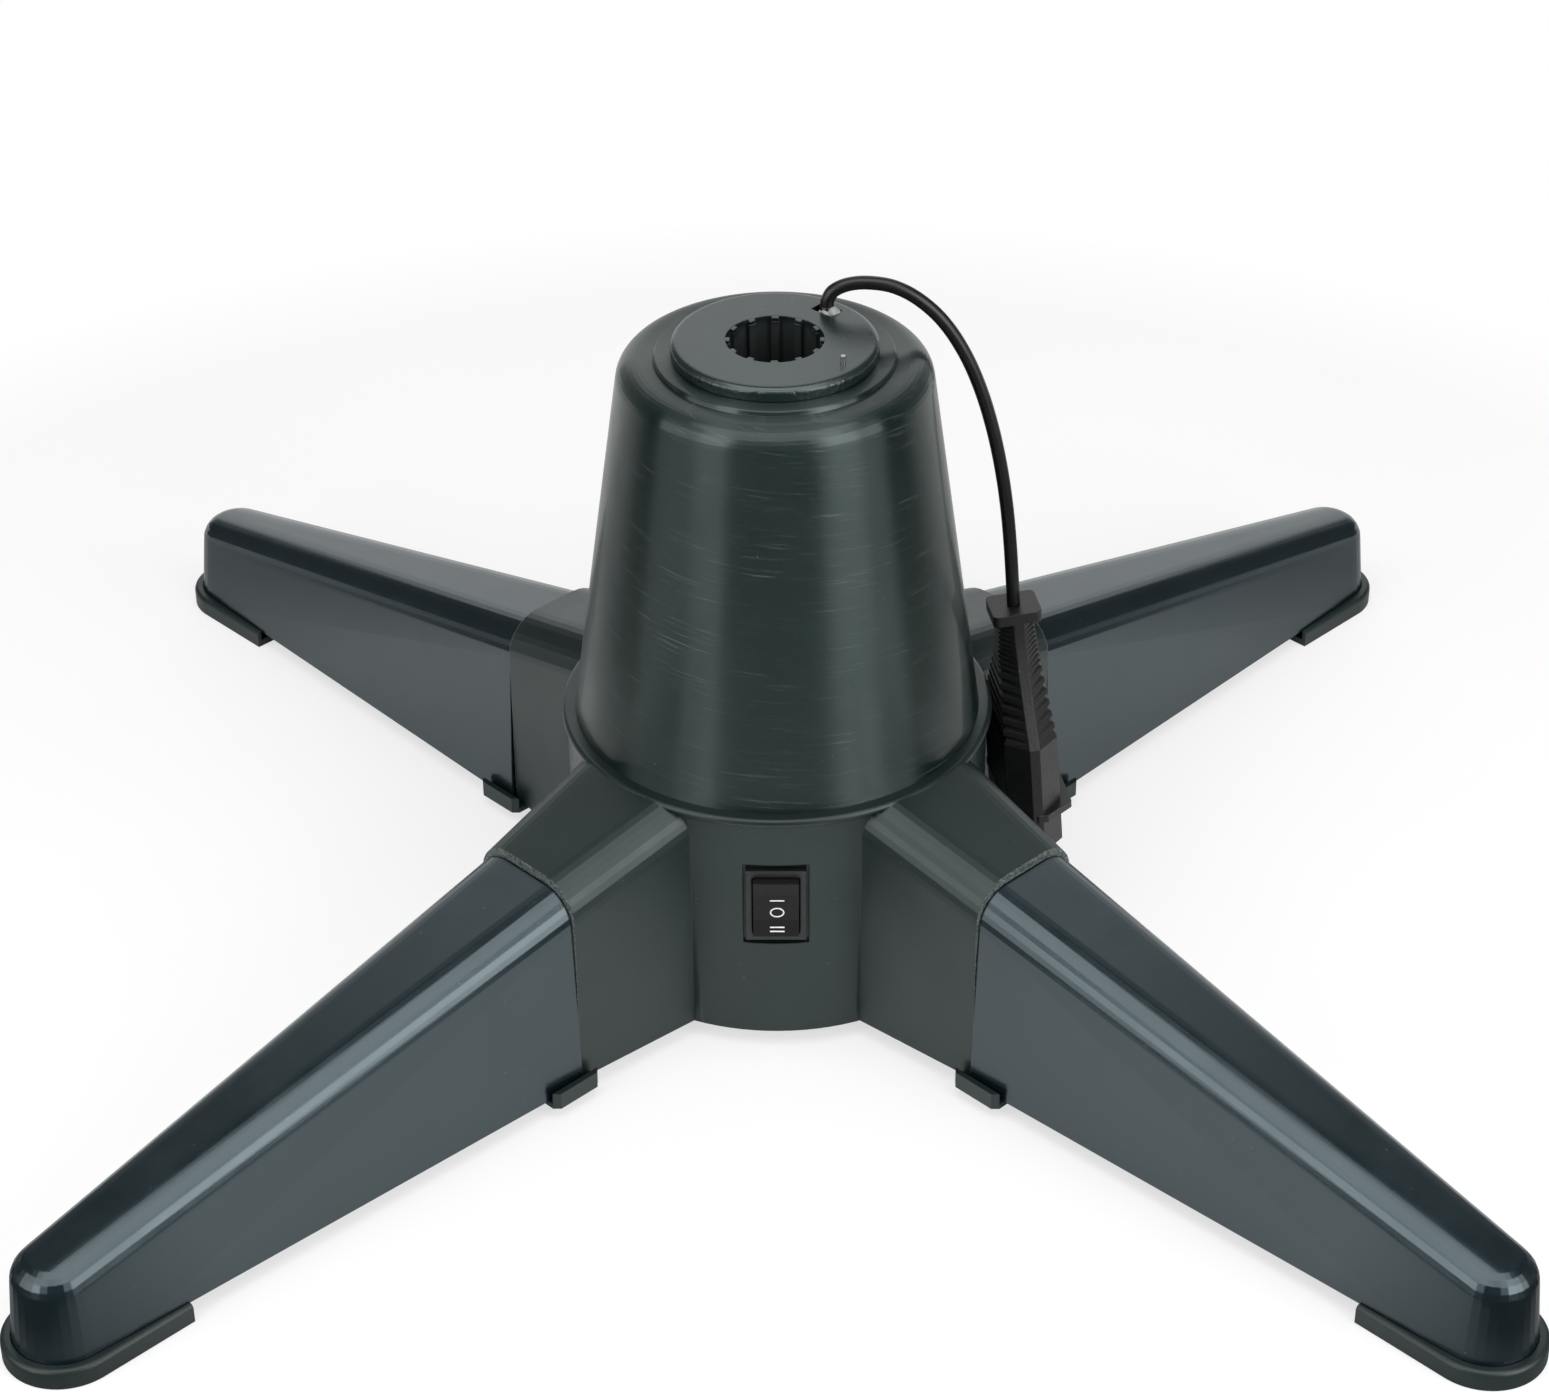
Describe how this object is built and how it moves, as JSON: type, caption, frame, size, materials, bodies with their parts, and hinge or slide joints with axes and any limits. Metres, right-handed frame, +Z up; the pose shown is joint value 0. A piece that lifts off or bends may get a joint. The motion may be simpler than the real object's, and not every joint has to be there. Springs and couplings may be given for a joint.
{
  "type": "rotating tree stand",
  "caption": "Low cross-legged stand for an artificial tree: a drum base, a cone cover and a motor-driven turntable with a fluted pole socket, a light socket on a short lead and a mains lead.",
  "frame": {"origin": "on the floor under the drum's axis, which is the centre of the four feet", "axes": "+Z up along the turntable's axis; -Y out through the rocker switch; the legs lie on the diagonals between X and Y"},
  "size_m": [0.3544, 0.3544, 0.1829],
  "materials": {
    "drum_plastic": "satin moulded plastic, very dark green",
    "cover_plastic": "satin moulded plastic with fine turning scratches, very dark green",
    "turntable_plastic": "fine-grained moulded plastic, very dark green",
    "leg_plastic": "semi-gloss moulded plastic, very dark green",
    "foot_rubber": "dull black soft plastic",
    "black_plastic": "satin black moulded plastic",
    "rocker_plastic": "smooth black plastic with printed marks",
    "cord_black": "black flexible sheath",
    "glue": "dried pale grey glue",
    "screw_zinc": "zinc-plated steel",
    "bright_steel": "ground bright steel",
    "pin_chrome": "plated contact pins",
    "motor_metal": "plated sheet steel can",
    "brass": "bare brass",
    "copper_ring": "bare copper alloy",
    "nylon": "natural nylon",
    "sleeve_white": "white pin insulation",
    "brown_laminate": "brown phenolic laminate",
    "carbon": "carbon brush"
  },
  "bodies": {
    "base": {"hub_body": "drum_plastic", "bottom_plate": "drum_plastic", "bottom_screws": "screw_zinc", "gear_deck": "nylon", "deck_screws": "screw_zinc", "pivot_pin": "bright_steel", "thrust_washer": "brass", "motor": "motor_metal", "motor_screws": "screw_zinc", "brush_holder": "brown_laminate", "brushes": "carbon", "cover": "cover_plastic", "cover_screws": "screw_zinc", "upper_bush": "nylon", "switch_housing": "black_plastic", "switch_terminals": "brass", "leg_front_left": "leg_plastic", "leg_front_right": "leg_plastic", "leg_back_right": "leg_plastic", "leg_back_left": "leg_plastic", "foot_front_left": "foot_rubber", "foot_front_right": "foot_rubber", "foot_back_right": "foot_rubber", "foot_back_left": "foot_rubber", "terminal_block": "nylon", "mains_relief": "black_plastic", "mains_lead": "cord_black", "mains_coil": "cord_black", "mains_tail": "cord_black", "mains_plug": "black_plastic", "plug_sleeves": "sleeve_white", "plug_prongs": "pin_chrome"},
    "turntable": {"turntable": "turntable_plastic", "ring_gear": "nylon", "gear_screws": "screw_zinc", "retaining_ring": "bright_steel", "marker_pin": "bright_steel", "slip_ring_sleeve": "nylon", "slip_rings": "copper_ring", "lead_anchor": "glue", "light_lead": "cord_black", "light_socket": "black_plastic", "socket_contacts": "brass"},
    "drive": {"drive_gear": "nylon", "motor_shaft": "bright_steel"},
    "rocker": {"switch_rocker": "rocker_plastic"}
  },
  "joints": [
    {"name": "turntable_turn", "type": "hinge", "parent": "base", "child": "turntable", "pos_m": [0, 0, 0], "axis": [0, 0, 1], "continuous": true, "deforming": ["light_lead", "light_socket", "socket_contacts"]},
    {"name": "drive_spin", "type": "hinge", "parent": "base", "child": "drive", "pos_m": [0, 0.0345, 0], "axis": [0, 0, 1], "continuous": true},
    {"name": "rocker_tilt", "type": "hinge", "parent": "base", "child": "rocker", "pos_m": [0, -0.0527, 0.0445], "axis": [1, 0, 0], "range_deg": [-9, 9]}
  ],
  "couplings": [
    {"joint": "drive_spin", "follows": "turntable_turn", "ratio": -3.6}
  ]
}
